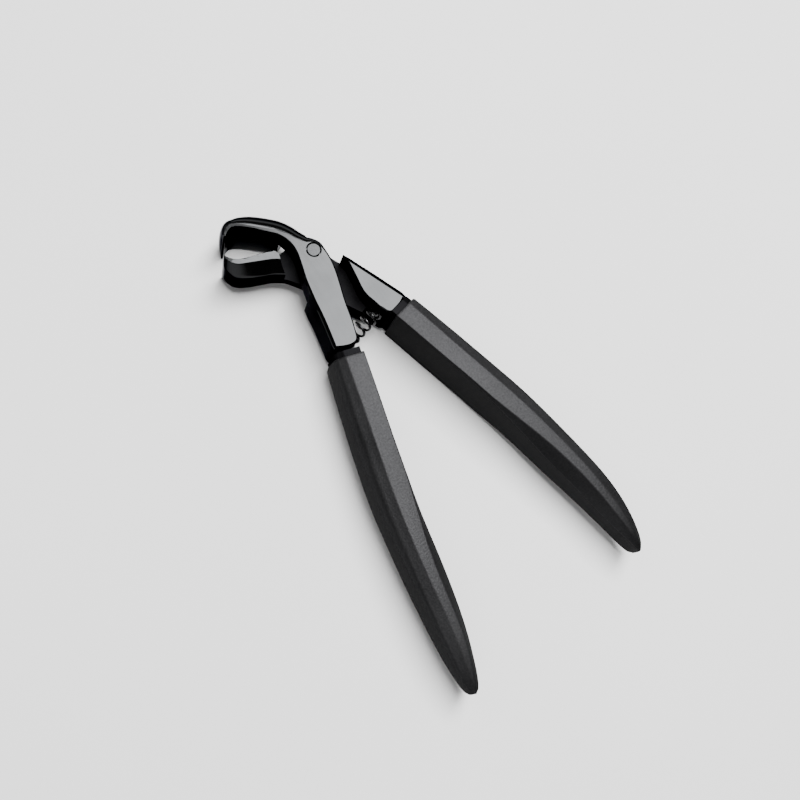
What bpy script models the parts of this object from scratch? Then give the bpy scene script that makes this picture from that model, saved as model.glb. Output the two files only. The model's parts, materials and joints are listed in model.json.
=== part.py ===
"""A plier-type nail nipper.

Two levers cross on one rivet.  The front lever carries the upper jaw and the
left handle, the rear lever carries the lower jaw and the right handle.  Each
is full thickness at its jaw and its handle, and half thickness where they
lap.  A coil spring between the handles opens the jaws.

Shapes are drawn in millimetres around the pivot axis, with z = 0 at the
underside and the handles towards -Y.  The tool is drawn open, at rest.
"""
import math

import bpy
from mathutils import Vector

MM = 0.001

# ---------------------------------------------------------------- dimensions
PIVOT = (-2.95, 44.08)     # pivot axis, from the middle of the footprint
MID_Z = 7.0                # mid-plane of the whole tool
BODY_HALF = 6.0            # half the thickness of the levers
JAW_HALF = 6.8             # half the height of the cutting edges
JAW_HEADING = math.radians(150)
JAW_FLARE = (8.0, 19.0)    # where the jaws grow taller, along their heading
FACET_DEPTH = 0.5          # of the lower jaw's facets, as a share of its half height
LAP_GAP = 0.3              # between the two half-thickness plates
LAP_RADIUS = 8.3           # round recess in which the other plate turns

RIVET_RADIUS = 1.35
RIVET_HEAD_RADIUS = 1.6
RIVET_HEAD_DEPTH = 1.2
RIVET_CLEARANCE = 0.06
RIVET_GROOVE = 0.3          # fine ring around the flush head
ROUND_SIDES = 40

SPRING_HEADING = math.radians(16.5)
SPRING_WALLS = ((-2.4, -21.7), (6.4, -19.1))   # where its axis meets each lever
SPRING_SEAT_DEPTHS = (2.0, 1.5)
SPRING_SEAT_RADIUS = 2.4
SPRING_RADIUS = 1.68       # of the wire's centre line
SPRING_WIRE = 0.32         # wire radius
SPRING_TURNS = 7
SPRING_END_TURNS = 1.0     # closed turns at each end
SPRING_END_GAP = 0.1
PIN_RADIUS = 1.1
PIN_SET_DEPTH = 2.0        # how far a spring pin sits in its lever
PIN_STAND_OUT = 2.2
PIN_CLEARANCE = 0.05

TANG_HALF_WIDTH = 2.2
TANG_HALF_HEIGHT = 3.4
TANG_STARTS = {-1: (-5.6, -20.5), 1: (9.6, -18.5)}
TANG_LEAD_IN = 8.0         # over which a tang swings to the middle of its grip
TANG_END = -74.0
GRIP_CLEARANCE = 0.3

# The handles lie either side of this line, which starts beside the pivot.
BISECTOR_X = 2.0
BISECTOR_LEAN = 0.023
GRIP_SLANT = 0.25          # the grip's cross-sections lie square to the handle
GRIP_HALF_HEIGHT = 7.0
GRIP_START = -22.5
GRIP_END = -101.3
GRIP_SHIFTS = {-1: (0.95, -3.4), 1: (0.0, 0.0)}   # the left grip sits lower
GRIP_BEND_START = -78.0
GRIP_TIP_BENDS = {-1: 1.5, 1: -2.0}   # how far each tip leans outward

# ------------------------------------------------------------------ outlines
# A point is x, y, bulge, bevel: the outline of the top face, how far the wall
# bellies out at mid-height, and the width of the bevel along the top edge.

FRONT_LEVER = [
    # cutting edge
    [(-16.75, 12.70, 0.1, 0), (-16.50, 12.35, 0.1, 0)],
    # back of the edge
    [(-16.50, 12.35, 0.1, 0), (-15.4, 13.1, 0, 0), (-14.1, 13.6, -0.3, 0)],
    # inner face of the jaw, left edge of the plate, outer side of the handle
    [(-14.1, 13.6, -0.3, 0), (-12.6, 13.1, -0.8, 0), (-10.3, 11.6, -0.8, 0),
     (-8.3, 10.0, -0.8, 0), (-6.6, 8.6, -0.6, 0), (-5.2, 7.3, -0.3, 0.1),
     (-4.3, 5.8, 0, 0.2), (-3.7, 3.8, 0, 0.3), (-3.7, 1.4, 0, 0.3),
     (-4.4, -1.6, 0, 0.3), (-5.5, -5.6, 0, 0.4), (-6.4, -10.6, 0, 0.6),
     (-7.1, -15.8, 0, 0.7), (-8.4, -22.6, 0, 0.7)],
    # end of the shoulder
    [(-8.4, -22.6, 0, 0.7), (-6.9, -23.3, 0, 0.5), (-5.2, -23.8, 0, 0.5),
     (-3.7, -23.7, 0, 0.4), (-3.0, -23.0, 0, 0.3)],
    # right edge of the plate, crown over the rivet, back of the jaw, tip
    [(-3.0, -23.0, 0, 0.3), (-1.9, -19.6, 0, 0.3), (-0.6, -14.2, 0, 0.3),
     (1.0, -9.0, 0, 0.3), (1.9, -5.4, 0.1, 0.3), (2.1, -2.9, 0.8, 0.2),
     (2.0, -0.9, 1.5, 0), (1.6, 0.7, 2.1, 0), (0.6, 1.8, 2.6, 0),
     (-0.8, 2.6, 3.4, 0), (-2.4, 4.5, 3.9, 0), (-3.7, 6.6, 4.2, 0),
     (-5.1, 8.3, 4.4, 0), (-7.2, 10.1, 4.4, 0), (-9.9, 12.1, 4.2, 0),
     (-11.8, 13.4, 3.6, 0), (-13.0, 14.1, 2.9, 0), (-14.0, 14.5, 2.2, 0),
     (-15.1, 14.2, 1.5, 0), (-16.1, 13.4, 0.9, 0), (-16.75, 12.70, 0.1, 0)],
]

REAR_LEVER = [
    # cutting edge
    [(-19.12, 8.55, 0.1, 0), (-19.30, 8.20, 0.1, 0)],
    # tip, back of the jaw, lower edge of the plate
    [(-19.30, 8.20, 0.1, 0), (-19.1, 6.9, 0.8, 0), (-18.3, 5.8, 1.5, 0),
     (-17.2, 5.0, 2.1, 0), (-14.5, 4.1, 2.5, 0), (-10.3, 2.8, 2.6, 0),
     (-8.2, 1.8, 2.6, 0), (-6.2, 0.2, 2.4, 0), (-4.7, -2.4, 1.8, 0),
     (-3.1, -5.4, 1.0, 0.2), (-1.4, -8.4, 0.3, 0.3), (0.4, -11.4, 0, 0.3),
     (2.0, -14.3, 0, 0.3), (4.2, -17.6, 0, 0.3), (6.1, -19.4, 0, 0.3)],
    # inner side and end of the shoulder
    [(6.1, -19.4, 0, 0.3), (6.6, -20.3, 0, 0.3), (7.0, -21.2, 0, 0.3)],
    [(7.0, -21.2, 0, 0.3), (7.8, -21.8, 0, 0.5), (9.2, -21.5, 0, 0.5),
     (10.8, -21.0, 0, 0.5), (12.2, -20.2, 0, 0.9)],
    # outer side of the handle, upper edge of the plate, inner face of the jaw
    [(12.2, -20.2, 0, 1.5), (8.2, -11.6, 0, 1.5), (6.0, -6.9, 0, 1.3),
     (4.9, -4.2, 0, 0.8), (4.3, -1.8, 0, 0.3), (3.9, 1.0, 0, 0.3),
     (2.8, 3.0, 0, 0.3), (0.6, 4.3, 0, 0.3), (-2.0, 4.8, 0, 0.3),
     (-5.2, 4.6, 0, 0.2), (-8.4, 4.3, 0, 0), (-10.1, 4.7, -0.4, 0),
     (-13.3, 5.3, -0.8, 0), (-16.3, 6.0, -0.8, 0), (-17.8, 6.8, -0.4, 0),
     (-18.6, 7.6, 0, 0), (-19.12, 8.55, 0.1, 0)],
]

# Shoulders that bound each half-thickness plate, inside the other lever.
FRONT_SHOULDER = [(-8.2, -7.4), (-6.0, -9.6), (-4.2, -12.6), (-2.6, -15.6),
                  (-1.2, -17.8), (1.5, -18.6), (6.0, -12.0)]
REAR_SHOULDER = [(3.0, -21.0), (6.2, -19.6), (5.7, -17.8), (5.1, -16.0),
                 (4.9, -14.5), (5.0, -13.0), (5.3, -11.1), (5.6, -8.6),
                 (5.8, -6.9), (5.6, -5.4), (5.3, -4.5), (6.6, -3.6),
                 (7.0, 3.0), (-4.0, 9.0), (-9.8, 5.6), (-8.7, 4.55),
                 (-8.1, 3.9)]

# Guide lines of the right grip: distance from the bisector, against y.
GRIP_INNER_WALL = [(-16, 3.2), (-22, 4.9), (-35, 8.5), (-44, 11.0), (-52, 13.0),
                   (-61, 15.1), (-72, 17.2), (-82, 19.4), (-90, 21.4),
                   (-96, 23.3), (-99, 24.4), (-100.6, 25.1), (-101.3, 25.7)]
GRIP_FACET_INNER = [(-16, 3.2), (-22, 4.9), (-35, 8.6), (-44, 11.2), (-52, 13.4),
                    (-60, 16.0), (-68, 18.6), (-76, 20.6), (-84, 22.1),
                    (-91, 23.4), (-97, 24.9), (-101.3, 26.0)]
GRIP_FACET_OUTER = [(-16, 8.2), (-22, 9.7), (-35, 13.2), (-46, 16.3), (-57, 19.2),
                    (-66, 21.2), (-76, 23.0), (-85, 24.3), (-93, 25.4),
                    (-98, 26.0), (-101.3, 26.3)]
GRIP_BEVEL_OUTER = [(-16, 9.8), (-22, 11.4), (-31, 13.9), (-44, 17.3), (-56, 20.8),
                    (-70, 23.9), (-77, 25.3), (-84, 26.4), (-91, 27.0),
                    (-97, 27.0), (-100, 26.9), (-101.3, 26.6)]
GRIP_OUTER_WALL = [(-16, 10.9), (-22, 13.0), (-30, 15.7), (-38, 18.3), (-46, 20.7),
                   (-54, 22.8), (-62, 24.4), (-70, 25.8), (-78, 27.0),
                   (-86, 27.9), (-93, 28.2), (-97.5, 28.0), (-100, 27.6),
                   (-101.3, 26.9)]
GRIP_INNER_CHAMFER = [(-16, 0.4), (-38, 0.5), (-50, 1.2), (-60, 2.2), (-72, 3.0),
                      (-90, 3.0), (-101.3, 0.4)]
GRIP_HEIGHT = [(-16, 6.7), (-26, 7.0), (-40, 7.0), (-58, 7.0), (-76, 6.7),
               (-88, 6.0), (-95, 5.0), (-98.5, 4.1), (-100.5, 3.1), (-101.3, 2.1)]
GRIP_BEVEL_DROP = 0.9


# ------------------------------------------------------------------- helpers
def clear_scene():
    for item in list(bpy.data.objects):
        bpy.data.objects.remove(item, do_unlink=True)


def spline(points, samples):
    """Catmull-Rom curve through points of any size, without the last one."""
    result = []
    last = len(points) - 1
    for i in range(last):
        p0 = points[max(i - 1, 0)]
        p1 = points[i]
        p2 = points[i + 1]
        p3 = points[min(i + 2, last)]
        for k in range(samples):
            t = k / samples
            result.append(tuple(
                b + t * (0.5 * (c - a)
                         + t * (a - 2.5 * b + 2 * c - 0.5 * d
                                + t * (1.5 * (b - c) + 0.5 * (d - a))))
                for a, b, c, d in zip(p0, p1, p2, p3)))
    return result


def guide(points, y):
    """Value of a guide line at y, along a smooth curve through its points."""
    last = len(points) - 1
    i = 0
    while i < last - 1 and y < points[i + 1][0]:
        i += 1
    y1, v1 = points[i]
    y2, v2 = points[i + 1]

    def slope(j):
        a = points[max(j - 1, 0)]
        b = points[min(j + 1, last)]
        return (b[1] - a[1]) / (b[0] - a[0])

    span = y2 - y1
    t = min(max((y - y1) / span, 0), 1)
    blend = t * t * (3 - 2 * t)
    return (v1 * (1 - blend) + v2 * blend
            + span * t * (1 - t) * ((1 - t) * slope(i) - t * slope(i + 1)))


def smoothstep(low, high, value):
    t = min(max((value - low) / (high - low), 0), 1)
    return t * t * (3 - 2 * t)


def arc(radius, start_deg, end_deg, steps):
    angles = [math.radians(start_deg + (end_deg - start_deg) * k / steps)
              for k in range(steps + 1)]
    return [(radius * math.cos(a), radius * math.sin(a)) for a in angles]


def make_object(name, vertices, faces, parent):
    mesh = bpy.data.meshes.new(name)
    mesh.from_pydata([[c * MM for c in v] for v in vertices], [], faces)
    mesh.update()
    item = bpy.data.objects.new(name, mesh)
    bpy.context.collection.objects.link(item)
    item.parent = parent
    return item


def as_cutter(item):
    item.hide_render = True
    item.display_type = "WIRE"
    return item


def combine(target, other, operation):
    modifier = target.modifiers.new(other.name, "BOOLEAN")
    modifier.operation = operation
    modifier.solver = "EXACT"
    modifier.object = other


def finish(item, color, roughness, metallic, sharp_deg=35):
    item.data.shade_smooth()
    item.data.set_sharp_from_angle(angle=math.radians(sharp_deg))
    material = bpy.data.materials.new(item.name)
    material.use_nodes = True
    shader = material.node_tree.nodes["Principled BSDF"]
    shader.inputs["Base Color"].default_value = (*color, 1)
    shader.inputs["Roughness"].default_value = roughness
    shader.inputs["Metallic"].default_value = metallic
    item.data.materials.append(material)


def stack(rings):
    """Vertices and faces of a closed body from rings of equal length.

    The rings run anticlockwise about the direction in which they are stacked.
    """
    count = len(rings[0])
    vertices = [p for ring in rings for p in ring]
    faces = [tuple(reversed(range(count)))]
    for level in range(len(rings) - 1):
        low = level * count
        for i in range(count):
            j = (i + 1) % count
            faces.append((low + i, low + j, low + count + j, low + count + i))
    faces.append(tuple(range(len(vertices) - count, len(vertices))))
    return vertices, faces


def extrude(name, outline, z_low, z_high, parent):
    rings = [[(x, y, z) for x, y in outline] for z in (z_low, z_high)]
    return make_object(name, *stack(rings), parent)


def turned(name, profile, origin, direction, parent):
    """A round body: profile is (distance along direction, radius) pairs."""
    along = Vector(direction).normalized()
    side = Vector((0, 0, 1)) if abs(along.z) < 0.9 else Vector((1, 0, 0))
    u = side.cross(along).normalized()
    v = along.cross(u)
    rings = []
    for distance, radius in profile:
        centre = Vector(origin) + along * distance
        ring = []
        for k in range(ROUND_SIDES):
            a = math.tau * k / ROUND_SIDES
            ring.append(tuple(centre + (u * math.cos(a) + v * math.sin(a)) * radius))
        rings.append(ring)
    return make_object(name, *stack(rings), parent)


# -------------------------------------------------------------------- levers
LEVELS = (-1, -0.95, -0.8, -0.5, -0.2, 0.2, 0.5, 0.8, 0.95, 1)
SAMPLES = 3


def lever_outline(stretches):
    points = []
    for stretch in stretches:
        samples = 1 if len(stretch) == 2 else SAMPLES
        points.extend(spline(stretch, samples))
    return points


def outward_normals(points):
    normals = []
    for i, point in enumerate(points):
        before = points[i - 1]
        after = points[(i + 1) % len(points)]
        edges = [Vector((point[1] - before[1], before[0] - point[0])),
                 Vector((after[1] - point[1], point[0] - after[0]))]
        normals.append((edges[0].normalized() + edges[1].normalized()).normalized())
    return normals


def half_height(x, y):
    along = x * math.cos(JAW_HEADING) + y * math.sin(JAW_HEADING)
    return BODY_HALF + (JAW_HALF - BODY_HALF) * smoothstep(*JAW_FLARE, along)


def round_wall(level):
    """How far out a wall bellies, from 0 at its edges to 1 at mid-height."""
    return math.sqrt(1 - level * level)


def faceted_wall(level):
    """The same for a wall with a straight facet above and below a plain band."""
    return min((1 - abs(level)) / FACET_DEPTH, 1)


def lever_body(name, stretches, wall, parent):
    """The lever at full thickness, before the lap is cut."""
    points = lever_outline(stretches)
    normals = outward_normals(points)
    rings = []
    for level in LEVELS:
        ring = []
        for (x, y, bulge, bevel), normal in zip(points, normals):
            half = half_height(x, y)
            below_edge = (1 - abs(level)) * half
            out = bulge * wall(level) + min(bevel, below_edge)
            ring.append((x + normal.x * out, y + normal.y * out, MID_Z + half * level))
        rings.append(ring)
    return make_object(name, *stack(rings), parent)


def bisector(y):
    return BISECTOR_X - BISECTOR_LEAN * y


def tang_bar(name, side, extra, parent):
    """The bar that carries a grip, swept along the middle of the handle."""
    stations = 16
    start = TANG_STARTS[side]
    across, along = GRIP_SHIFTS[side]
    half_width = TANG_HALF_WIDTH + extra
    half_height_z = TANG_HALF_HEIGHT + extra
    end = TANG_END - extra
    rings = []
    for k in range(stations + 1):
        y = start[1] + (end - start[1]) * k / stations
        inner = guide(GRIP_INNER_WALL, y - along)
        outer = guide(GRIP_OUTER_WALL, y - along)
        middle = bisector(y) + side * ((inner + outer) / 2 + across)
        lead_in = smoothstep(0, TANG_LEAD_IN, start[1] - y)
        middle = start[0] * (1 - lead_in) + middle * lead_in
        narrowing = 1 - 0.25 * k / stations
        width = half_width * narrowing
        rings.append([(middle - width, y, MID_Z - half_height_z),
                      (middle + width, y, MID_Z - half_height_z),
                      (middle + width, y, MID_Z + half_height_z),
                      (middle - width, y, MID_Z + half_height_z)])
    return make_object(name, *stack(rings), parent)


def rivet_bore(name, parent):
    """The pin's bore with a flat seat for the head at each end."""
    head = RIVET_HEAD_RADIUS + RIVET_GROOVE
    bore = RIVET_RADIUS + RIVET_CLEARANCE
    low = MID_Z - BODY_HALF
    high = MID_Z + BODY_HALF
    seat = RIVET_HEAD_DEPTH + RIVET_CLEARANCE
    profile = [(low - 1, head), (low + seat, head), (low + seat, bore),
               (high - seat, bore), (high - seat, head), (high + 1, head)]
    return as_cutter(turned(name, profile, (0, 0, 0), (0, 0, 1), parent))


def spring_frames():
    """For each seat: the middle of its floor, and the way it faces."""
    axis = Vector((math.cos(SPRING_HEADING), math.sin(SPRING_HEADING), 0))
    frames = []
    for wall, depth, way in zip(SPRING_WALLS, SPRING_SEAT_DEPTHS, (1, -1)):
        facing = axis * way
        floor = Vector((*wall, MID_Z)) - facing * depth
        frames.append((floor, facing))
    return frames


def spring_seat(name, floor, facing, parent):
    """A round seat for the spring's end, with a hole for its pin."""
    hole = PIN_RADIUS + PIN_CLEARANCE
    hole_depth = PIN_SET_DEPTH + PIN_CLEARANCE
    mouth = max(SPRING_SEAT_DEPTHS) + 1.5
    profile = [(-hole_depth, hole), (0, hole), (0, SPRING_SEAT_RADIUS),
               (mouth, SPRING_SEAT_RADIUS)]
    return as_cutter(turned(name, profile, floor, facing, parent))


def front_lever(parent):
    lever = lever_body("front_lever", FRONT_LEVER, round_wall, parent)
    combine(lever, as_cutter(tang_bar("front_tang", -1, 0, parent)), "UNION")
    recess = arc(LAP_RADIUS, -40, 215, 32) + FRONT_SHOULDER
    cutter = extrude("front_lap", recess, -1, MID_Z + LAP_GAP / 2, parent)
    combine(lever, as_cutter(cutter), "DIFFERENCE")
    combine(lever, rivet_bore("front_bore", parent), "DIFFERENCE")
    combine(lever, spring_seat("front_seat", *spring_frames()[0], parent), "DIFFERENCE")
    finish(lever, (0.03, 0.03, 0.032), 0.22, 1.0)


def rear_lever(parent):
    lever = lever_body("rear_lever", REAR_LEVER, faceted_wall, parent)
    combine(lever, as_cutter(tang_bar("rear_tang", 1, 0, parent)), "UNION")
    recess = arc(LAP_RADIUS, 159, 225, 14) + REAR_SHOULDER
    cutter = extrude("rear_lap", recess, MID_Z - LAP_GAP / 2, 2 * MID_Z + 1, parent)
    combine(lever, as_cutter(cutter), "DIFFERENCE")
    combine(lever, rivet_bore("rear_bore", parent), "DIFFERENCE")
    combine(lever, spring_seat("rear_seat", *spring_frames()[1], parent), "DIFFERENCE")
    finish(lever, (0.03, 0.03, 0.032), 0.22, 1.0)


# --------------------------------------------------------- rivet and spring
def pivot_rivet(parent):
    low = MID_Z - BODY_HALF
    high = MID_Z + BODY_HALF
    profile = [(low, RIVET_HEAD_RADIUS), (low + RIVET_HEAD_DEPTH, RIVET_HEAD_RADIUS),
               (low + RIVET_HEAD_DEPTH, RIVET_RADIUS),
               (high - RIVET_HEAD_DEPTH, RIVET_RADIUS),
               (high - RIVET_HEAD_DEPTH, RIVET_HEAD_RADIUS), (high, RIVET_HEAD_RADIUS)]
    rivet = turned("pivot_rivet", profile, (0, 0, 0), (0, 0, 1), parent)
    finish(rivet, (0.04, 0.04, 0.042), 0.2, 1.0)


def spring_pins(parent):
    for name, (floor, facing) in zip(("front_spring_pin", "rear_spring_pin"), spring_frames()):
        nose = 0.4
        profile = [(-PIN_SET_DEPTH, PIN_RADIUS), (PIN_STAND_OUT - nose, PIN_RADIUS),
                   (PIN_STAND_OUT, PIN_RADIUS - nose)]
        finish(turned(name, profile, floor, facing, parent), (0.5, 0.5, 0.5), 0.3, 1.0)


def return_spring(parent):
    (start, facing), (end, _) = spring_frames()
    inset = SPRING_END_GAP + SPRING_WIRE
    free = (end - start).length - 2 * inset
    up = Vector((0, 0, 1))
    side = up.cross(facing)
    per_turn = 14
    closed_pitch = 2 * SPRING_WIRE + 0.06
    body_turns = SPRING_TURNS - 2 * SPRING_END_TURNS
    closed = closed_pitch * SPRING_END_TURNS
    points = []
    for k in range(int(SPRING_TURNS * per_turn) + 1):
        turn = k / per_turn
        if turn < SPRING_END_TURNS:
            along = closed_pitch * turn
        elif turn > SPRING_TURNS - SPRING_END_TURNS:
            along = free - closed_pitch * (SPRING_TURNS - turn)
        else:
            share = (turn - SPRING_END_TURNS) / body_turns
            along = closed + (free - 2 * closed) * share
        a = math.tau * turn
        points.append(start + facing * (inset + along)
                      + (up * math.cos(a) + side * math.sin(a)) * SPRING_RADIUS)
    curve = bpy.data.curves.new("return_spring", "CURVE")
    curve.dimensions = "3D"
    curve.bevel_depth = SPRING_WIRE * MM
    curve.bevel_resolution = 1
    curve.use_fill_caps = True
    line = curve.splines.new("POLY")
    line.points.add(len(points) - 1)
    for slot, point in zip(line.points, points):
        slot.co = (*(point * MM), 1)
    spring = bpy.data.objects.new("return_spring", curve)
    bpy.context.collection.objects.link(spring)
    spring.parent = parent
    material = bpy.data.materials.new("return_spring")
    material.use_nodes = True
    shader = material.node_tree.nodes["Principled BSDF"]
    shader.inputs["Base Color"].default_value = (0.1, 0.1, 0.1, 1)
    shader.inputs["Roughness"].default_value = 0.25
    shader.inputs["Metallic"].default_value = 1.0
    curve.materials.append(material)


# --------------------------------------------------------------------- grips
def grip_section(station):
    """Half of a grip's cross-section, from its inner wall to its outer wall.

    Each point is the distance from the bisector, y, and the height above the
    mid-plane.
    """
    inner = guide(GRIP_INNER_WALL, station)
    outer = guide(GRIP_OUTER_WALL, station)
    centre = (inner + outer) / 2

    def on(line):
        y = station
        for _ in range(3):
            y = station + GRIP_SLANT * (guide(line, y) - centre)
        return guide(line, y), y

    top = min(guide(GRIP_HEIGHT, station), GRIP_HALF_HEIGHT)
    chamfer = min(guide(GRIP_INNER_CHAMFER, station), top * 0.8)
    drop = min(GRIP_BEVEL_DROP, top * 0.3)
    wall = on(GRIP_INNER_WALL)
    section = [(*wall, 0), (*wall, top - chamfer), (*on(GRIP_FACET_INNER), top),
               (*on(GRIP_FACET_OUTER), top)]
    bevel = on(GRIP_BEVEL_OUTER)
    side = on(GRIP_OUTER_WALL)
    for angle in (0, 25, 50, 75):
        a = math.radians(angle)
        lean = math.sin(a)
        section.append((bevel[0] + (side[0] - bevel[0]) * lean,
                        bevel[1] + (side[1] - bevel[1]) * lean,
                        (top - drop) * math.cos(a)))
    section.append((*side, 0))
    return section


def grip(name, side, parent):
    across, along = GRIP_SHIFTS[side]
    stations = 40
    rings = []
    for k in range(stations + 1):
        share = 1 - (1 - k / stations) ** 1.35
        station = GRIP_START + (GRIP_END - GRIP_START) * share
        bend = max(0, (station - GRIP_BEND_START) / (GRIP_END - GRIP_BEND_START))
        lean = across + GRIP_TIP_BENDS[side] * bend ** 2
        half = grip_section(station)
        loop = half + [(x, y, -z) for x, y, z in reversed(half[1:-1])]
        ring = [(bisector(y + along) + side * (x + lean), y + along, MID_Z + z)
                for x, y, z in loop]
        if side > 0:
            ring.reverse()
        rings.append(ring)
    body = make_object(name, *stack(rings), parent)
    pocket = tang_bar(name + "_pocket", side, GRIP_CLEARANCE, parent)
    combine(body, as_cutter(pocket), "DIFFERENCE")
    finish(body, (0.02, 0.02, 0.021), 0.6, 0.0, 24)


def main():
    clear_scene()
    axis = bpy.data.objects.new("pivot_axis", None)
    bpy.context.collection.objects.link(axis)
    axis.location = (PIVOT[0] * MM, PIVOT[1] * MM, 0)
    front_lever(axis)
    rear_lever(axis)
    pivot_rivet(axis)
    spring_pins(axis)
    return_spring(axis)
    grip("front_grip", -1, axis)
    grip("rear_grip", 1, axis)


main()
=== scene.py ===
"""Looks of the plier-type nail nipper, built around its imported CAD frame.

The levers, rivet, grips and spring are redrawn finer than the CAD solids they
stand for, in millimetres around the pivot axis, and placed on the joint.
"""
import json
import math

import bpy
from mathutils import Matrix, Vector


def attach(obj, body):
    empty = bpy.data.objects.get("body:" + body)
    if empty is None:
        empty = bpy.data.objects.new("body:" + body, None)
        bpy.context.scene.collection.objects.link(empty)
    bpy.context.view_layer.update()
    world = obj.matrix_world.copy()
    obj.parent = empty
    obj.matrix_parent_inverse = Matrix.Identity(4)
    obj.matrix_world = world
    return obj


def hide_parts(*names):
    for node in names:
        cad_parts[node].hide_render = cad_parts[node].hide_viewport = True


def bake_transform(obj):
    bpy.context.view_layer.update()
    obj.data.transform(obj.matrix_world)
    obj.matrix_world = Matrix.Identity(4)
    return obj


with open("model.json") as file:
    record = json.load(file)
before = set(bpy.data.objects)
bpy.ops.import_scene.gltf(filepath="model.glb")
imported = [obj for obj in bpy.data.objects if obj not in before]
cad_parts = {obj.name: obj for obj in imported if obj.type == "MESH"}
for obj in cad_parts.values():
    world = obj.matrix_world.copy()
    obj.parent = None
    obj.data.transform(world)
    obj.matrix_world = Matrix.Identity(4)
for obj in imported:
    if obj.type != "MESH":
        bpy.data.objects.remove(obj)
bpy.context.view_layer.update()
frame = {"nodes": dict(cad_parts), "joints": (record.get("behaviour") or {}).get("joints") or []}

MM = 0.001
PIVOT = Vector(frame["joints"][0]["pos_m"])
PIVOT.z = 0.0              # everything is drawn up from the underside

# ---------------------------------------------------------------- dimensions
MID_Z = 7.0                # mid-plane of the whole tool
BODY_HALF = 6.0            # half the thickness of the levers
JAW_HALF = 6.8             # half the height of the cutting edges
JAW_HEADING = math.radians(150)
JAW_FLARE = (8.0, 19.0)    # where the jaws grow taller, along their heading
FACET_DEPTH = 0.5          # of the lower jaw's facets, as a share of its half height
FACET_EASE = 0.1           # how softly a facet runs into the band at mid-height
LAP_GAP = 0.3              # between the two half-thickness plates
LAP_RADIUS = 8.3           # round recess in which the other plate turns
EDGE_ROUND = 0.09          # fine rounding of the metal's top and bottom edges
EDGE_STEPS = 4
OUTLINE_SAMPLES = 9        # points of a lever's outline per given point
# Levels of the wall between the rounded edges, from the edge to mid-height.
WALL_LEVELS = [0.955, 0.93, 0.9, 0.86, 0.8, 0.72, 0.62, 0.555, 0.525, 0.5, 0.475, 0.445,
               0.37, 0.23, 0.08]
SHADED_NECK_ENDS = {"front": -24.05, "rear": -22.0}   # y below which a tang's neck is painted near-black as shade

RIVET_RADIUS = 1.35
RIVET_HEAD_RADIUS = 1.6
RIVET_HEAD_DEPTH = 1.2
RIVET_CLEARANCE = 0.06
RIVET_GROOVE = 0.3         # fine ring around the flush head
RIVET_FILLET = 0.12
ROUND_SIDES = 96

SPRING_HEADING = math.radians(16.5)
SPRING_WALLS = ((-2.4, -21.7), (6.4, -19.1))   # where its axis meets each lever
SPRING_SEAT_DEPTHS = (2.0, 1.5)
SPRING_SEAT_RADIUS = 2.4
SPRING_RADIUS = 1.68       # of the wire's centre line
SPRING_WIRE = 0.32         # wire radius
SPRING_TURNS = 7
SPRING_END_TURNS = 1.0     # closed turns at each end
SPRING_END_GAP = 0.1
SPRING_CLOSED_GAP = 0.06   # between the wires of a closed turn
SPRING_PER_TURN = 44
SPRING_WIRE_SIDES = 14

TANG_HALF_WIDTH = 2.2
TANG_HALF_HEIGHT = 3.4
TANG_STARTS = {-1: (-5.6, -20.5), 1: (9.6, -18.5)}
TANG_LEAD_IN = 8.0         # over which a tang swings to the middle of its grip
TANG_END = -74.0
TANG_NARROWING = 0.25      # share of its width that a tang loses along its length
TANG_STATIONS = 40

# The handles lie either side of this line, which starts beside the pivot.
BISECTOR_X = 2.0
BISECTOR_LEAN = 0.023
GRIP_HALF_HEIGHT = 7.0
GRIP_SLANT = 0.25          # the grip's cross-sections lie square to the handle
GRIP_START = -22.5
GRIP_END = -101.3
GRIP_SHIFTS = {-1: (0.95, -3.4), 1: (0.0, 0.0)}   # the left grip sits lower
GRIP_BEND_START = -78.0
GRIP_TIP_BENDS = {-1: 1.5, 1: -2.0}   # how far each tip leans outward
GRIP_STATIONS = 150
GRIP_CROWDING = 1.35       # above 1, the stations crowd towards the tip
GRIP_EASE = 0.28           # how far the corners of a cross-section are eased

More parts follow.
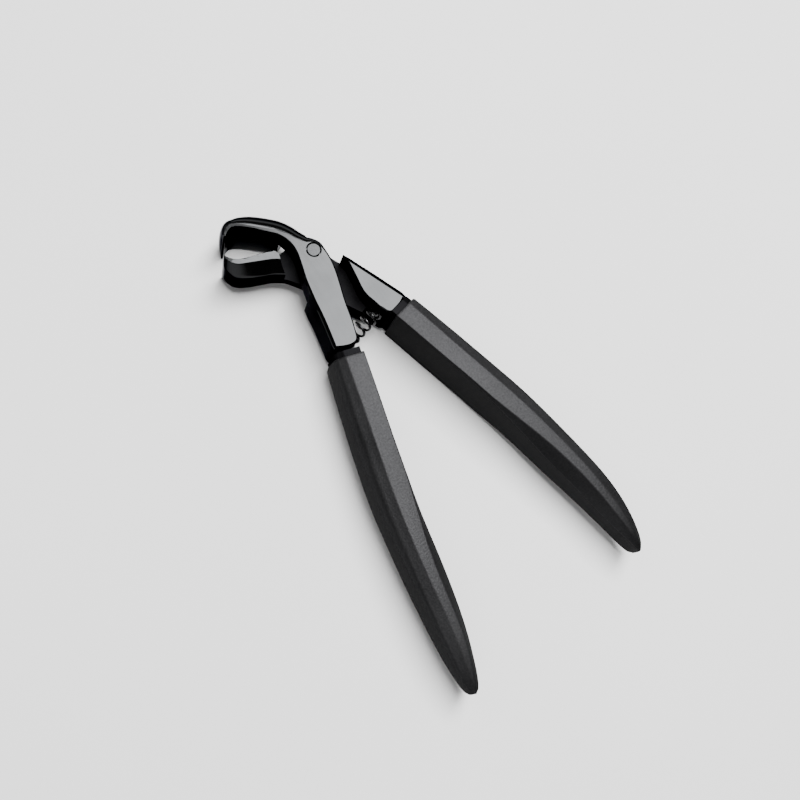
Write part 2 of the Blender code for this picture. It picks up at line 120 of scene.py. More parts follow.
# A point is x, y, bulge, bevel: the outline of the top face, how far the wall
# bellies out at mid-height, and the width of the bevel along the top edge.
FRONT_LEVER = [
    [(-16.75, 12.70, 0.1, 0), (-16.50, 12.35, 0.1, 0)],
    [(-16.50, 12.35, 0.1, 0), (-15.4, 13.1, 0, 0), (-14.1, 13.6, -0.3, 0)],
    [(-14.1, 13.6, -0.3, 0), (-12.6, 13.1, -0.8, 0), (-10.3, 11.6, -0.8, 0),
     (-8.3, 10.0, -0.8, 0), (-6.6, 8.6, -0.6, 0), (-5.2, 7.3, -0.3, 0.1),
     (-4.3, 5.8, 0, 0.2), (-3.7, 3.8, 0, 0.3), (-3.7, 1.4, 0, 0.3),
     (-4.4, -1.6, 0, 0.3), (-5.5, -5.6, 0, 0.4), (-6.4, -10.6, 0, 0.6),
     (-7.1, -15.8, 0, 0.7), (-8.4, -22.6, 0, 0.7)],
    [(-8.4, -22.6, 0, 0.7), (-6.9, -23.3, 0, 0.5), (-5.2, -23.8, 0, 0.5),
     (-3.7, -23.7, 0, 0.4), (-3.0, -23.0, 0, 0.3)],
    [(-3.0, -23.0, 0, 0.3), (-1.9, -19.6, 0, 0.3), (-0.6, -14.2, 0, 0.3),
     (1.0, -9.0, 0, 0.3), (1.9, -5.4, 0.1, 0.3), (2.1, -2.9, 0.8, 0.2),
     (2.0, -0.9, 1.5, 0), (1.6, 0.7, 2.1, 0), (0.6, 1.8, 2.6, 0),
     (-0.8, 2.6, 3.4, 0), (-2.4, 4.5, 3.9, 0), (-3.7, 6.6, 4.2, 0),
     (-5.1, 8.3, 4.4, 0), (-7.2, 10.1, 4.4, 0), (-9.9, 12.1, 4.2, 0),
     (-11.8, 13.4, 3.6, 0), (-13.0, 14.1, 2.9, 0), (-14.0, 14.5, 2.2, 0),
     (-15.1, 14.2, 1.5, 0), (-16.1, 13.4, 0.9, 0), (-16.75, 12.70, 0.1, 0)],
]

REAR_LEVER = [
    [(-19.12, 8.55, 0.1, 0), (-19.30, 8.20, 0.1, 0)],
    [(-19.30, 8.20, 0.1, 0), (-19.1, 6.9, 0.8, 0), (-18.3, 5.8, 1.5, 0),
     (-17.2, 5.0, 2.1, 0), (-14.5, 4.1, 2.5, 0), (-10.3, 2.8, 2.6, 0),
     (-8.2, 1.8, 2.6, 0), (-6.2, 0.2, 2.4, 0), (-4.7, -2.4, 1.8, 0),
     (-3.1, -5.4, 1.0, 0.2), (-1.4, -8.4, 0.3, 0.3), (0.4, -11.4, 0, 0.3),
     (2.0, -14.3, 0, 0.3), (4.2, -17.6, 0, 0.3), (6.1, -19.4, 0, 0.3)],
    [(6.1, -19.4, 0, 0.3), (6.6, -20.3, 0, 0.3), (7.0, -21.2, 0, 0.3)],
    [(7.0, -21.2, 0, 0.3), (7.8, -21.8, 0, 0.5), (9.2, -21.5, 0, 0.5),
     (10.8, -21.0, 0, 0.5), (12.2, -20.2, 0, 0.9)],
    [(12.2, -20.2, 0, 1.5), (8.2, -11.6, 0, 1.5), (6.0, -6.9, 0, 1.3),
     (4.9, -4.2, 0, 0.8), (4.3, -1.8, 0, 0.3), (3.9, 1.0, 0, 0.3),
     (2.8, 3.0, 0, 0.3), (0.6, 4.3, 0, 0.3), (-2.0, 4.8, 0, 0.3),
     (-5.2, 4.6, 0, 0.2), (-8.4, 4.3, 0, 0), (-10.1, 4.7, -0.4, 0),
     (-13.3, 5.3, -0.8, 0), (-16.3, 6.0, -0.8, 0), (-17.8, 6.8, -0.4, 0),
     (-18.6, 7.6, 0, 0), (-19.12, 8.55, 0.1, 0)],
]

FRONT_SHOULDER = [(-8.2, -7.4), (-6.0, -9.6), (-4.2, -12.6), (-2.6, -15.6),
                  (-1.2, -17.8), (1.5, -18.6), (6.0, -12.0)]
REAR_SHOULDER = [(3.0, -21.0), (6.2, -19.6), (5.7, -17.8), (5.1, -16.0),
                 (4.9, -14.5), (5.0, -13.0), (5.3, -11.1), (5.6, -8.6),
                 (5.8, -6.9), (5.6, -5.4), (5.3, -4.5), (6.6, -3.6),
                 (7.0, 3.0), (-4.0, 9.0), (-9.8, 5.6), (-8.7, 4.55),
                 (-8.1, 3.9)]

# Guide lines of the right grip: distance from the bisector, against y.
GRIP_INNER_WALL = [(-16, 3.2), (-22, 4.9), (-35, 8.5), (-44, 11.0), (-52, 13.0),
                   (-61, 15.1), (-72, 17.2), (-82, 19.4), (-90, 21.4),
                   (-96, 23.3), (-99, 24.4), (-100.6, 25.1), (-101.3, 25.7)]
GRIP_FACET_INNER = [(-16, 3.2), (-22, 4.9), (-35, 8.6), (-44, 11.2), (-52, 13.4),
                    (-60, 16.0), (-68, 18.6), (-76, 20.6), (-84, 22.1),
                    (-91, 23.4), (-97, 24.9), (-101.3, 26.0)]
GRIP_FACET_OUTER = [(-16, 8.2), (-22, 9.7), (-35, 13.2), (-46, 16.3), (-57, 19.2),
                    (-66, 21.2), (-76, 23.0), (-85, 24.3), (-93, 25.4),
                    (-98, 26.0), (-101.3, 26.3)]
GRIP_BEVEL_OUTER = [(-16, 9.8), (-22, 11.4), (-31, 13.9), (-44, 17.3), (-56, 20.8),
                    (-70, 23.9), (-77, 25.3), (-84, 26.4), (-91, 27.0),
                    (-97, 27.0), (-100, 26.9), (-101.3, 26.6)]
GRIP_OUTER_WALL = [(-16, 10.9), (-22, 13.0), (-30, 15.7), (-38, 18.3), (-46, 20.7),
                   (-54, 22.8), (-62, 24.4), (-70, 25.8), (-78, 27.0),
                   (-86, 27.9), (-93, 28.2), (-97.5, 28.0), (-100, 27.6),
                   (-101.3, 26.9)]
GRIP_INNER_CHAMFER = [(-16, 0.4), (-38, 0.5), (-50, 1.2), (-60, 2.2), (-72, 3.0),
                      (-90, 3.0), (-101.3, 0.4)]
GRIP_HEIGHT = [(-16, 6.7), (-26, 7.0), (-40, 7.0), (-58, 7.0), (-76, 6.7),
               (-88, 6.0), (-95, 5.0), (-98.5, 4.1), (-100.5, 3.1), (-101.3, 2.1)]
GRIP_BEVEL_DROP = 0.9
# A collar leads into each grip, its faces painted near-black as shade: distance along it, and
# how far it is drawn in.
GRIP_COLLAR = [(-1.5, 0.9), (0.05, 0.9), (0.0, 0.8), (0.0, 0.3), (0.12, 0.09), (0.3, 0.0)]
COLLAR_ROWS = 2            # rows of faces painted near-black as shade
COLLAR_AHEAD = 6           # the ring towards which the collar's direction is taken

LENS = 42.9
CAMERA_PLACE = Vector((-73.15, -61.17, 219.53))
CAMERA_AXES = ((0.80697, -0.54741, 0.22166),
               (0.49534, 0.83173, 0.25071),
               (-0.32160, -0.09252, 0.94234))


# ------------------------------------------------------------------- helpers
def spline(points, samples):
    """Catmull-Rom curve through points of any size, without the last one."""
    result = []
    last = len(points) - 1
    for i in range(last):
        p0 = points[max(i - 1, 0)]
        p1 = points[i]
        p2 = points[i + 1]
        p3 = points[min(i + 2, last)]
        for k in range(samples):
            t = k / samples
            result.append(tuple(
                b + t * (0.5 * (c - a)
                         + t * (a - 2.5 * b + 2 * c - 0.5 * d
                                + t * (1.5 * (b - c) + 0.5 * (d - a))))
                for a, b, c, d in zip(p0, p1, p2, p3)))
    return result


def guide(points, y):
    """Value of a guide line at y, along a smooth curve through its points."""
    last = len(points) - 1
    i = 0
    while i < last - 1 and y < points[i + 1][0]:
        i += 1
    y1, v1 = points[i]
    y2, v2 = points[i + 1]

    def slope(j):
        a = points[max(j - 1, 0)]
        b = points[min(j + 1, last)]
        return (b[1] - a[1]) / (b[0] - a[0])

    span = y2 - y1
    t = min(max((y - y1) / span, 0), 1)
    blend = t * t * (3 - 2 * t)
    return (v1 * (1 - blend) + v2 * blend
            + span * t * (1 - t) * ((1 - t) * slope(i) - t * slope(i + 1)))


def smoothstep(low, high, value):
    t = min(max((value - low) / (high - low), 0), 1)
    return t * t * (3 - 2 * t)


def arc(radius, start_deg, end_deg, steps):
    angles = [math.radians(start_deg + (end_deg - start_deg) * k / steps)
              for k in range(steps + 1)]
    return [(radius * math.cos(a), radius * math.sin(a)) for a in angles]


def make_object(name, vertices, faces):
    mesh = bpy.data.meshes.new(name)
    mesh.from_pydata([tuple(PIVOT[i] + v[i] * MM for i in range(3)) for v in vertices],
                     [], faces)
    mesh.update()
    item = bpy.data.objects.new(name, mesh)
    bpy.context.scene.collection.objects.link(item)
    return item


def stack(rings):
    """Vertices and faces of a closed body: its rows of walls, then both ends."""
    count = len(rings[0])
    vertices = [p for ring in rings for p in ring]
    faces = []
    for level in range(len(rings) - 1):
        low = level * count
        for i in range(count):
            j = (i + 1) % count
            faces.append((low + i, low + j, low + count + j, low + count + i))
    faces.append(tuple(reversed(range(count))))
    faces.append(tuple(range(len(vertices) - count, len(vertices))))
    return vertices, faces


def extrude(name, outline, z_low, z_high):
    rings = [[(x, y, z) for x, y in outline] for z in (z_low, z_high)]
    return make_object(name, *stack(rings))


def turned(name, profile, origin, direction, sides=ROUND_SIDES):
    along = Vector(direction).normalized()
    side = Vector((0, 0, 1)) if abs(along.z) < 0.9 else Vector((1, 0, 0))
    u = side.cross(along).normalized()
    v = along.cross(u)
    rings = []
    for distance, radius in profile:
        centre = Vector(origin) + along * distance
        rings.append([tuple(centre + (u * math.cos(math.tau * k / sides)
                                      + v * math.sin(math.tau * k / sides)) * radius)
                      for k in range(sides)])
    return make_object(name, *stack(rings))


def carve(item, *steps):
    """Applies Boolean steps (operation, other) and removes the other objects."""
    for operation, other in steps:
        modifier = item.modifiers.new(other.name, "BOOLEAN")
        modifier.operation = operation
        modifier.solver = "EXACT"
        modifier.object = other
    bpy.context.view_layer.update()
    graph = bpy.context.evaluated_depsgraph_get()
    mesh = bpy.data.meshes.new_from_object(item.evaluated_get(graph))
    item.modifiers.clear()
    item.data = mesh
    for _, other in steps:
        bpy.data.objects.remove(other, do_unlink=True)
    return item


def smooth(item, sharp_deg):
    """Smooth shading that leaves the large flat faces flat."""
    item.data.shade_smooth()
    item.data.set_sharp_from_angle(angle=math.radians(sharp_deg))
    weighted = item.modifiers.new("weighted", "WEIGHTED_NORMAL")
    weighted.keep_sharp = True
    weighted.weight = 100


# ----------------------------------------------------------------- materials
# What a surface reflects at a grazing angle.  Low values keep the sides of the
# metal and of the grips dark above the pale floor.
STEEL_EDGE_TINT = (0.3, 0.3, 0.31, 1)
LAP_EDGE_TINT = (0.1, 0.1, 0.1, 1)
GRIP_EDGE_TINT = (0.06, 0.06, 0.06, 1)


def new_material(name):
    material = bpy.data.materials.new(name)
    material.use_nodes = True
    nodes = material.node_tree.nodes
    return material, nodes, material.node_tree.links, nodes["Principled BSDF"]


def noise(nodes, links, scale, detail, stretch=(1, 1, 1), turn=0.0, roughness=0.5):
    """Noise in object space; stretch below 1 draws it out along that axis."""
    place = nodes.new("ShaderNodeTexCoord")
    mapping = nodes.new("ShaderNodeMapping")
    mapping.inputs["Scale"].default_value = stretch
    mapping.inputs["Rotation"].default_value = (0, 0, turn)
    texture = nodes.new("ShaderNodeTexNoise")
    texture.inputs["Scale"].default_value = scale
    texture.inputs["Detail"].default_value = detail
    texture.inputs["Roughness"].default_value = roughness
    links.new(place.outputs["Object"], mapping.inputs["Vector"])
    links.new(mapping.outputs["Vector"], texture.inputs["Vector"])
    return texture.outputs["Fac"]


def spread(nodes, links, value, low, high, from_low=0.3, from_high=0.7):
    """Maps a noise value to a range."""
    item = nodes.new("ShaderNodeMapRange")
    item.inputs["From Min"].default_value = from_low
    item.inputs["From Max"].default_value = from_high
    item.inputs["To Min"].default_value = low
    item.inputs["To Max"].default_value = high
    links.new(value, item.inputs["Value"])
    return item.outputs["Result"]


def two_tone(nodes, links, value, low, high):
    mix = nodes.new("ShaderNodeMix")
    mix.data_type = "RGBA"
    mix.inputs["A"].default_value = (*low, 1)
    mix.inputs["B"].default_value = (*high, 1)
    links.new(value, mix.inputs["Factor"])
    return mix.outputs["Result"]


def bump(nodes, links, height, distance, strength, under=None):
    item = nodes.new("ShaderNodeBump")
    item.inputs["Distance"].default_value = distance
    item.inputs["Strength"].default_value = strength
    links.new(height, item.inputs["Height"])
    if under is not None:
        links.new(under, item.inputs["Normal"])
    return item.outputs["Normal"]


def polished_steel(name, dark, light, rough, turn):
    """Dark polished steel: faint tone drift, hairline polishing marks, light wear."""
    material, nodes, links, shader = new_material(name)
    drift = noise(nodes, links, 90, 3)
    hairline = noise(nodes, links, 2600, 3, (1, 0.03, 0.3), turn, 0.6)
    smudge = noise(nodes, links, 260, 4, roughness=0.6)
    links.new(two_tone(nodes, links, spread(nodes, links, drift, 0, 1), dark, light),
              shader.inputs["Base Color"])
    total = nodes.new("ShaderNodeMath")
    total.operation = "ADD"
    links.new(spread(nodes, links, hairline, rough - 0.02, rough + 0.03), total.inputs[0])
    links.new(spread(nodes, links, smudge, 0.0, 0.05), total.inputs[1])
    links.new(total.outputs[0], shader.inputs["Roughness"])
    fine = bump(nodes, links, hairline, 0.000004, 0.25)
    links.new(bump(nodes, links, drift, 0.00002, 0.1, fine), shader.inputs["Normal"])
    shader.inputs["Metallic"].default_value = 1.0
    shader.inputs["Specular Tint"].default_value = STEEL_EDGE_TINT
    return material


def shade_painted_steel(name):
    """Near-black steel: painted shade for the lap plane, the tang necks and the grip collars."""
    material, nodes, links, shader = new_material(name)
    drift = noise(nodes, links, 400, 4, roughness=0.6)
    links.new(two_tone(nodes, links, spread(nodes, links, drift, 0, 1),
                       (0.003, 0.003, 0.0034), (0.007, 0.007, 0.0075)),
              shader.inputs["Base Color"])
    links.new(spread(nodes, links, drift, 0.5, 0.62), shader.inputs["Roughness"])
    links.new(bump(nodes, links, drift, 0.00002, 0.3), shader.inputs["Normal"])
    shader.inputs["Metallic"].default_value = 1.0
    shader.inputs["Specular Tint"].default_value = LAP_EDGE_TINT
    return material


def grip_plastic(name):
    """Matte black moulded plastic with a fine spark-eroded grain."""
    material, nodes, links, shader = new_material(name)
    grain = noise(nodes, links, 2300, 2, roughness=0.55)
    fine = noise(nodes, links, 6500, 1)
    handled = noise(nodes, links, 120, 4, (1, 0.4, 1), 0.0, 0.6)
    tone = nodes.new("ShaderNodeMath")
    tone.operation = "MULTIPLY_ADD"
    links.new(spread(nodes, links, grain, 0, 1), tone.inputs[0])
    tone.inputs[1].default_value = 0.6
    links.new(spread(nodes, links, handled, 0, 0.4), tone.inputs[2])
    links.new(two_tone(nodes, links, tone.outputs[0], (0.014, 0.014, 0.0146),
                       (0.027, 0.027, 0.028)), shader.inputs["Base Color"])
    links.new(spread(nodes, links, handled, 0.44, 0.54), shader.inputs["Roughness"])
    under = bump(nodes, links, fine, 0.00003, 0.35)
    links.new(bump(nodes, links, grain, 0.0001, 0.55, under), shader.inputs["Normal"])
    shader.inputs["IOR"].default_value = 1.3
    shader.inputs["Metallic"].default_value = 0.8
    shader.inputs["Specular Tint"].default_value = GRIP_EDGE_TINT
    return material


def spring_steel(name, turn):
    """Dark drawn wire with fine marks from the die."""
    material, nodes, links, shader = new_material(name)
    marks = noise(nodes, links, 5200, 2, (1, 1, 0.5), turn)
    drift = noise(nodes, links, 700, 3)
    links.new(two_tone(nodes, links, spread(nodes, links, drift, 0, 1),
                       (0.035, 0.035, 0.036), (0.06, 0.06, 0.062)), shader.inputs["Base Color"])
    links.new(spread(nodes, links, marks, 0.16, 0.3), shader.inputs["Roughness"])
    links.new(bump(nodes, links, marks, 0.00001, 0.3), shader.inputs["Normal"])
    shader.inputs["Metallic"].default_value = 1.0
    return material


LEVER_STEEL = polished_steel("lever_steel", (0.0150, 0.0154, 0.0158), (0.0183, 0.0187, 0.0192),
                             0.13, math.radians(15))
RIVET_STEEL = polished_steel("rivet_steel", (0.0142, 0.0147, 0.0151), (0.0168, 0.0172, 0.0177),
                             0.17, math.radians(70))
# Near-black steel that paints shade on the lap plane, the tang necks and the grip collars.
PAINTED_SHADE_STEEL = shade_painted_steel("painted_shade_steel")
GRIP_PLASTIC = grip_plastic("grip_plastic")
WIRE_STEEL = spring_steel("wire_steel", math.radians(16))
PIN_STEEL = spring_steel("pin_steel", math.radians(106))


# -------------------------------------------------------------------- levers
def lever_levels():
    """Heights from -1 to 1 and how far the fine rounding draws the wall in."""
    edge = []
    for k in range(EDGE_STEPS + 1):
        a = math.radians(90 * (1 - k / EDGE_STEPS))
        edge.append((1 - EDGE_ROUND * (1 - math.sin(a)) / BODY_HALF,
                     EDGE_ROUND * (1 - math.cos(a))))
    upper = [(level, 0.0) for level in reversed(WALL_LEVELS)] + edge[::-1]
    return [(-level, draw) for level, draw in reversed(upper)] + upper


def lever_outline(stretches):
    points = []
    for stretch in stretches:
        points.extend(spline(stretch, 1 if len(stretch) == 2 else OUTLINE_SAMPLES))
    return points


def outward_normals(points):
    normals = []
    for i, point in enumerate(points):
        before = points[i - 1]
        after = points[(i + 1) % len(points)]
        edges = [Vector((point[1] - before[1], before[0] - point[0])),
                 Vector((after[1] - point[1], point[0] - after[0]))]
        normals.append((edges[0].normalized() + edges[1].normalized()).normalized())
    return normals


def half_height(x, y):
    along = x * math.cos(JAW_HEADING) + y * math.sin(JAW_HEADING)
    return BODY_HALF + (JAW_HALF - BODY_HALF) * smoothstep(*JAW_FLARE, along)


def round_wall(level):
    return math.sqrt(1 - level * level)


def faceted_wall(level):
    """A straight facet, eased into a plain band around mid-height."""
    t = (1 - abs(level)) / FACET_DEPTH
    if t < 1 - FACET_EASE:
        return t
    if t > 1 + FACET_EASE:
        return 1
    return t - (t - 1 + FACET_EASE) ** 2 / (4 * FACET_EASE)


def lever_body(name, stretches, wall):
    """A lever at full thickness; wall shapes its bulge between top and bottom."""
    points = lever_outline(stretches)
    normals = outward_normals(points)
    rings = []
    for level, draw in lever_levels():
        ring = []
        for (x, y, bulge, bevel), normal in zip(points, normals):
            half = half_height(x, y)
            below_edge = (1 - abs(level)) * half
            out = bulge * wall(level) + min(bevel, below_edge) - draw
            ring.append((x + normal.x * out, y + normal.y * out, MID_Z + half * level))
        rings.append(ring)
    return make_object(name, *stack(rings))


def bisector(y):
    return BISECTOR_X - BISECTOR_LEAN * y


def tang_bar(name, side):
    """The bar that carries a grip, swept along the middle of the handle."""
    start = TANG_STARTS[side]
    across, along = GRIP_SHIFTS[side]
    rings = []
    for k in range(TANG_STATIONS + 1):
        share = k / TANG_STATIONS
        y = start[1] + (TANG_END - start[1]) * share
        inner = guide(GRIP_INNER_WALL, y - along)
        outer = guide(GRIP_OUTER_WALL, y - along)
        middle = bisector(y) + side * ((inner + outer) / 2 + across)
        lead_in = smoothstep(0, TANG_LEAD_IN, start[1] - y)
        middle = start[0] * (1 - lead_in) + middle * lead_in
        width = TANG_HALF_WIDTH * (1 - TANG_NARROWING * share)
        rings.append([(middle - width, y, MID_Z - TANG_HALF_HEIGHT),
                      (middle + width, y, MID_Z - TANG_HALF_HEIGHT),
                      (middle + width, y, MID_Z + TANG_HALF_HEIGHT),
                      (middle - width, y, MID_Z + TANG_HALF_HEIGHT)])
    return make_object(name, *stack(rings))


def rivet_bore(name):
    """The rivet's bore with a flat seat for the head at each end."""
    head = RIVET_HEAD_RADIUS + RIVET_GROOVE
    bore = RIVET_RADIUS + RIVET_CLEARANCE
    low = MID_Z - BODY_HALF
    high = MID_Z + BODY_HALF
    seat = RIVET_HEAD_DEPTH + RIVET_CLEARANCE
    profile = [(low - 1, head), (low + seat, head), (low + seat, bore),
               (high - seat, bore), (high - seat, head), (high + 1, head)]
    return turned(name, profile, (0, 0, 0), (0, 0, 1))


def spring_frames():
    """Where the spring stands in each lever and the way it leaves it."""
    axis = Vector((math.cos(SPRING_HEADING), math.sin(SPRING_HEADING), 0))
    frames = []
    for wall, depth, way in zip(SPRING_WALLS, SPRING_SEAT_DEPTHS, (1, -1)):
        facing = axis * way
        frames.append((Vector((*wall, MID_Z)) - facing * depth, facing))
    return frames


def spring_seat(name, floor, facing):
    mouth = max(SPRING_SEAT_DEPTHS) + 1.5
    return turned(name, [(0, SPRING_SEAT_RADIUS), (mouth, SPRING_SEAT_RADIUS)],
                  floor, facing)


def paint_shade_faces(item, lap_z, neck_y):
    """Paints the lap's plane and the tang's neck near-black as shade."""
    tolerance = 0.02
    item.data.materials.append(PAINTED_SHADE_STEEL)
    for face in item.data.polygons:
        place = (face.center - PIVOT) / MM
        if abs(place.z - lap_z) < tolerance or place.y < neck_y:
            face.material_index = 1


def crisp_flats(item):
    """Marks the outline of every flat top and bottom face as a sharp edge."""
    mesh = item.data
    flat = 0.995           # least upright part of a flat face's normal
    beside = {}
    for face in mesh.polygons:
        for key in face.edge_keys:
            beside.setdefault(key, []).append(abs(face.normal.z) > flat)
    for edge in mesh.edges:
        flats = beside.get(edge.key, ())
        if len(flats) == 2 and flats[0] != flats[1]:
            edge.use_edge_sharp = True


def finish_metal(item, node, body, material):
    """Shades a metal piece and puts it in the place of its CAD node."""
    smooth(item, 30)
    crisp_flats(item)
    item.data.materials.clear()
    item.data.materials.append(material)
    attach(item, body)
    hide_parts(node)


def front_lever():
    lap_z = MID_Z + LAP_GAP / 2
    lever = lever_body("front_lever_fine", FRONT_LEVER, round_wall)
    recess = arc(LAP_RADIUS, -40, 215, 96) + FRONT_SHOULDER
    carve(lever,
          ("UNION", tang_bar("front_tang", -1)),
          ("DIFFERENCE", extrude("front_lap", recess, -1, lap_z)),
          ("DIFFERENCE", rivet_bore("front_bore")),
          ("DIFFERENCE", spring_seat("front_seat", *spring_frames()[0])))
    finish_metal(lever, "front_lever", "front_handle", LEVER_STEEL)
    paint_shade_faces(lever, lap_z, SHADED_NECK_ENDS["front"])


def rear_lever():
    lap_z = MID_Z - LAP_GAP / 2
    lever = lever_body("rear_lever_fine", REAR_LEVER, faceted_wall)
    recess = arc(LAP_RADIUS, 159, 225, 40) + REAR_SHOULDER
    carve(lever,
          ("UNION", tang_bar("rear_tang", 1)),
          ("DIFFERENCE", extrude("rear_lap", recess, lap_z, 2 * MID_Z + 1)),
          ("DIFFERENCE", rivet_bore("rear_bore")),
          ("DIFFERENCE", spring_seat("rear_seat", *spring_frames()[1])))
    finish_metal(lever, "rear_lever", "rear_handle", LEVER_STEEL)
    paint_shade_faces(lever, lap_z, SHADED_NECK_ENDS["rear"])


# --------------------------------------------------------- rivet and spring
def pivot_rivet():
    low = MID_Z - BODY_HALF
    high = MID_Z + BODY_HALF
    rounding = [(RIVET_FILLET * (1 - math.cos(a)), RIVET_FILLET * (1 - math.sin(a)))
                for a in map(math.radians, (0, 30, 60, 90))]
    profile = [(low + rise, RIVET_HEAD_RADIUS - draw) for rise, draw in rounding]
    profile += [(low + RIVET_HEAD_DEPTH, RIVET_HEAD_RADIUS),
                (low + RIVET_HEAD_DEPTH, RIVET_RADIUS),
                (high - RIVET_HEAD_DEPTH, RIVET_RADIUS),
                (high - RIVET_HEAD_DEPTH, RIVET_HEAD_RADIUS)]
    profile += [(high - rise, RIVET_HEAD_RADIUS - draw) for rise, draw in reversed(rounding)]
    rivet = turned("pivot_rivet_fine", profile, (0, 0, 0), (0, 0, 1))
    finish_metal(rivet, "pivot_rivet", "rear_handle", RIVET_STEEL)


def coil_spring():
    """The wire of the return spring, swept along a coil with closed end turns."""
    (start, facing), (end, _) = spring_frames()
    inset = SPRING_END_GAP + SPRING_WIRE
    free = (end - start).length - 2 * inset
    up = Vector((0, 0, 1))
    side = up.cross(facing)
    closed_pitch = 2 * SPRING_WIRE + SPRING_CLOSED_GAP
    body_turns = SPRING_TURNS - 2 * SPRING_END_TURNS
    closed = closed_pitch * SPRING_END_TURNS
    points = []
    for k in range(int(SPRING_TURNS * SPRING_PER_TURN) + 1):
        turn = k / SPRING_PER_TURN
        if turn < SPRING_END_TURNS:
            along = closed_pitch * turn
        elif turn > SPRING_TURNS - SPRING_END_TURNS:
            along = free - closed_pitch * (SPRING_TURNS - turn)
        else:
            share = (turn - SPRING_END_TURNS) / body_turns
            along = closed + (free - 2 * closed) * share
        a = math.tau * turn
        points.append(start + facing * (inset + along)
                      + (up * math.cos(a) + side * math.sin(a)) * SPRING_RADIUS)
    rings = []
    last = len(points) - 1
    wire_angles = [math.tau * k / SPRING_WIRE_SIDES for k in range(SPRING_WIRE_SIDES)]
    for i, point in enumerate(points):
        tangent = (points[min(i + 1, last)] - points[max(i - 1, 0)]).normalized()
        u = facing.cross(tangent).normalized()
        v = tangent.cross(u)
        rings.append([tuple(point + (u * math.cos(a) + v * math.sin(a)) * SPRING_WIRE)
                      for a in wire_angles])
    return make_object("return_spring_fine", *stack(rings))


def return_spring():
    """The coil, which stretches between the two levers."""
    spring = coil_spring()
    spring.data.shade_smooth()
    spring.data.set_sharp_from_angle(angle=math.radians(50))
    spring.data.materials.append(WIRE_STEEL)
    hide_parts("return_spring")
    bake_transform(spring)


def spring_pins():
    """The CAD pins stay and only get their material."""
    for node in ("front_spring_pin", "rear_spring_pin"):
        pin = frame["nodes"][node]
        pin.data.materials.clear()
        pin.data.materials.append(PIN_STEEL)


# --------------------------------------------------------------------- grips
def eased_share(length):
    """Share of a side that the easing of one of its corners takes up."""
    return min(0.45, GRIP_EASE / max(length, 1e-6))


def grip_section(station):
    """Half of a cross-section, inner wall to outer wall, with eased corners."""
    inner = guide(GRIP_INNER_WALL, station)
    outer = guide(GRIP_OUTER_WALL, station)
    centre = (inner + outer) / 2

    def on(line):
        y = station
        for _ in range(4):
            y = station + GRIP_SLANT * (guide(line, y) - centre)
        return guide(line, y), y

    top = min(guide(GRIP_HEIGHT, station), GRIP_HALF_HEIGHT)
    chamfer = min(guide(GRIP_INNER_CHAMFER, station), top * 0.8)
    drop = min(GRIP_BEVEL_DROP, top * 0.3)
    wall = on(GRIP_INNER_WALL)
    bevel = on(GRIP_BEVEL_OUTER)
    side = on(GRIP_OUTER_WALL)
    corners = [(*wall, top - chamfer), (*on(GRIP_FACET_INNER), top),
               (*on(GRIP_FACET_OUTER), top), (*bevel, top - drop)]
    section = [(*wall, 0), (*wall, (top - chamfer) * 0.5)]
    for i, corner in enumerate(corners[:3]):
        before = Vector(section[-1])
        after = Vector(corners[i + 1])
        point = Vector(corner)
        a = point + (before - point) * eased_share((before - point).length)
        b = point + (after - point) * eased_share((after - point).length)
        for t in (0.0, 0.33, 0.67, 1.0):
            p = a * (1 - t) ** 2 + point * 2 * t * (1 - t) + b * t * t
            section.append(tuple(p))
    for angle in (0, 12, 24, 36, 48, 60, 72, 82):
        a = math.radians(angle)
        lean = math.sin(a)
        section.append((bevel[0] + (side[0] - bevel[0]) * lean,
                        bevel[1] + (side[1] - bevel[1]) * lean,
                        (top - drop) * math.cos(a)))
    section.append((*side, 0))
    return section


def grip_rings(side):
    across, along = GRIP_SHIFTS[side]
    rings = []
    for k in range(GRIP_STATIONS + 1):
        share = 1 - (1 - k / GRIP_STATIONS) ** GRIP_CROWDING
        station = GRIP_START + (GRIP_END - GRIP_START) * share
        bend = max(0, (station - GRIP_BEND_START) / (GRIP_END - GRIP_BEND_START))
        lean = across + GRIP_TIP_BENDS[side] * bend ** 2
        half = grip_section(station)
        loop = half + [(x, y, -z) for x, y, z in reversed(half[1:-1])]
        ring = [(bisector(y + along) + side * (x + lean), y + along, MID_Z + z)
                for x, y, z in loop]
        if side > 0:
            ring.reverse()
        rings.append(ring)
    return rings


def collar_rings(first, ahead):
    """The collar and the eased rim that lead into a grip's first ring."""
    centre = [sum(p[i] for p in first) / len(first) for i in range(3)]
    rings = []
    for step, draw in GRIP_COLLAR:
        rings.append([])
        for p, q in zip(first, ahead):
            length = math.dist(p, q)
            moved = [p[i] + (q[i] - p[i]) * step / length for i in range(3)]
            radius = math.dist(p, centre)
            rings[-1].append(tuple(moved[i] + (centre[i] - p[i]) * draw / radius
                                   for i in range(3)))
    return rings


def grip(name, side, node, body):
    rings = grip_rings(side)
    collar = collar_rings(rings[0], rings[COLLAR_AHEAD])
    item = make_object(name, *stack(collar + rings[1:]))
    item.data.shade_smooth()
    item.data.set_sharp_from_angle(angle=math.radians(60))
    item.data.materials.append(GRIP_PLASTIC)
    item.data.materials.append(PAINTED_SHADE_STEEL)
    # The collar's first rows and its end cap get the painted shade.
    walls = item.data.polygons[:COLLAR_ROWS * len(rings[0])]
    for face in [*walls, item.data.polygons[-2]]:
        face.material_index = 1
    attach(item, body)
    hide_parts(node)


# --------------------------------------------------- camera, floor and light
def floor_material():
    material, nodes, links, shader = new_material("studio_floor")
    mottle = noise(nodes, links, 6, 4)
    links.new(two_tone(nodes, links, spread(nodes, links, mottle, 0, 1),
                       (0.70, 0.70, 0.70), (0.74, 0.74, 0.74)), shader.inputs["Base Color"])
    links.new(bump(nodes, links, noise(nodes, links, 900, 3), 0.00005, 0.1),
              shader.inputs["Normal"])
    shader.inputs["Roughness"].default_value = 0.9
    shader.inputs["Specular IOR Level"].default_value = 0.15
    return material


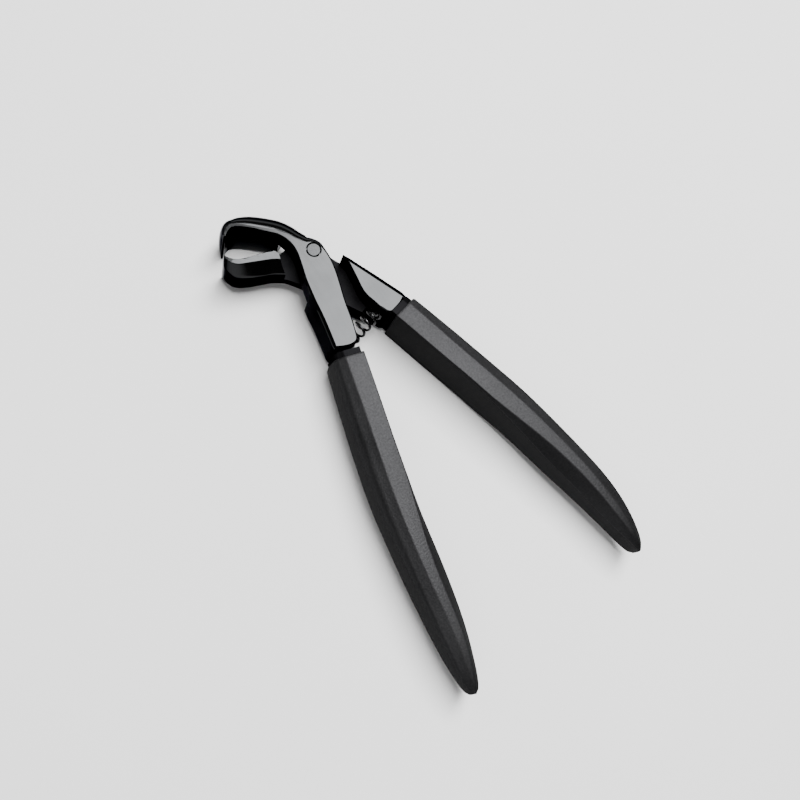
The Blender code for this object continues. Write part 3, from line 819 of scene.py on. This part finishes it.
def floor():
    half = 3.0
    drop = 0.0001          # keeps the floor just clear of the grips' undersides
    mesh = bpy.data.meshes.new("floor")
    mesh.from_pydata([(-half, -half, 0), (half, -half, 0), (half, half, 0), (-half, half, 0)],
                     [], [(0, 1, 2, 3)])
    item = bpy.data.objects.new("floor", mesh)
    item.location.z = -drop
    bpy.context.scene.collection.objects.link(item)
    item.data.materials.append(floor_material())


def softbox(name, target, direction, distance, size, power):
    """A rectangular lamp that faces the target from a distance in metres."""
    lamp = bpy.data.lights.new(name, "AREA")
    lamp.shape = "RECTANGLE"
    lamp.size, lamp.size_y = size
    lamp.energy = power
    item = bpy.data.objects.new(name, lamp)
    way = Vector(direction).normalized()
    item.location = target + way * distance
    item.rotation_euler = way.to_track_quat("Z", "Y").to_euler()
    bpy.context.scene.collection.objects.link(item)


def camera():
    lens = bpy.data.cameras.new("camera")
    lens.sensor_width = 36.0
    lens.lens = LENS
    lens.clip_start = 0.01
    item = bpy.data.objects.new("camera", lens)
    turn = Matrix(CAMERA_AXES).transposed()
    item.matrix_world = Matrix.Translation(PIVOT + CAMERA_PLACE * MM) @ turn.to_4x4()
    bpy.context.scene.collection.objects.link(item)
    bpy.context.scene.camera = item


def lights():
    middle = Vector((0, 0, 0.01))
    softbox("panel", PIVOT + Vector((0.0, -0.03, 0.01)), (0.262, 0.115, 0.95), 0.74,
            (0.31, 0.61), 19)
    softbox("left_fill", middle, (-0.8, -0.45, 0.9), 1.2, (0.6, 0.6), 3)
    softbox("back_fill", middle, (-0.3, 0.9, 0.9), 1.2, (0.6, 0.6), 2)
    softbox("rim", Vector((0, 0, 0)), (0.85, 0.5, 0.17), 1.1, (1.6, 0.4), 7)


def studio_world():
    world = bpy.data.worlds.new("studio")
    bpy.context.scene.world = world
    world.use_nodes = True
    background = world.node_tree.nodes["Background"]
    background.inputs["Color"].default_value = (1, 1, 1, 1)
    background.inputs["Strength"].default_value = 0.08


front_lever()
rear_lever()
pivot_rivet()
return_spring()
spring_pins()
grip("front_grip_fine", -1, "front_grip", "front_handle")
grip("rear_grip_fine", 1, "rear_grip", "rear_handle")
floor()
lights()
studio_world()
camera()
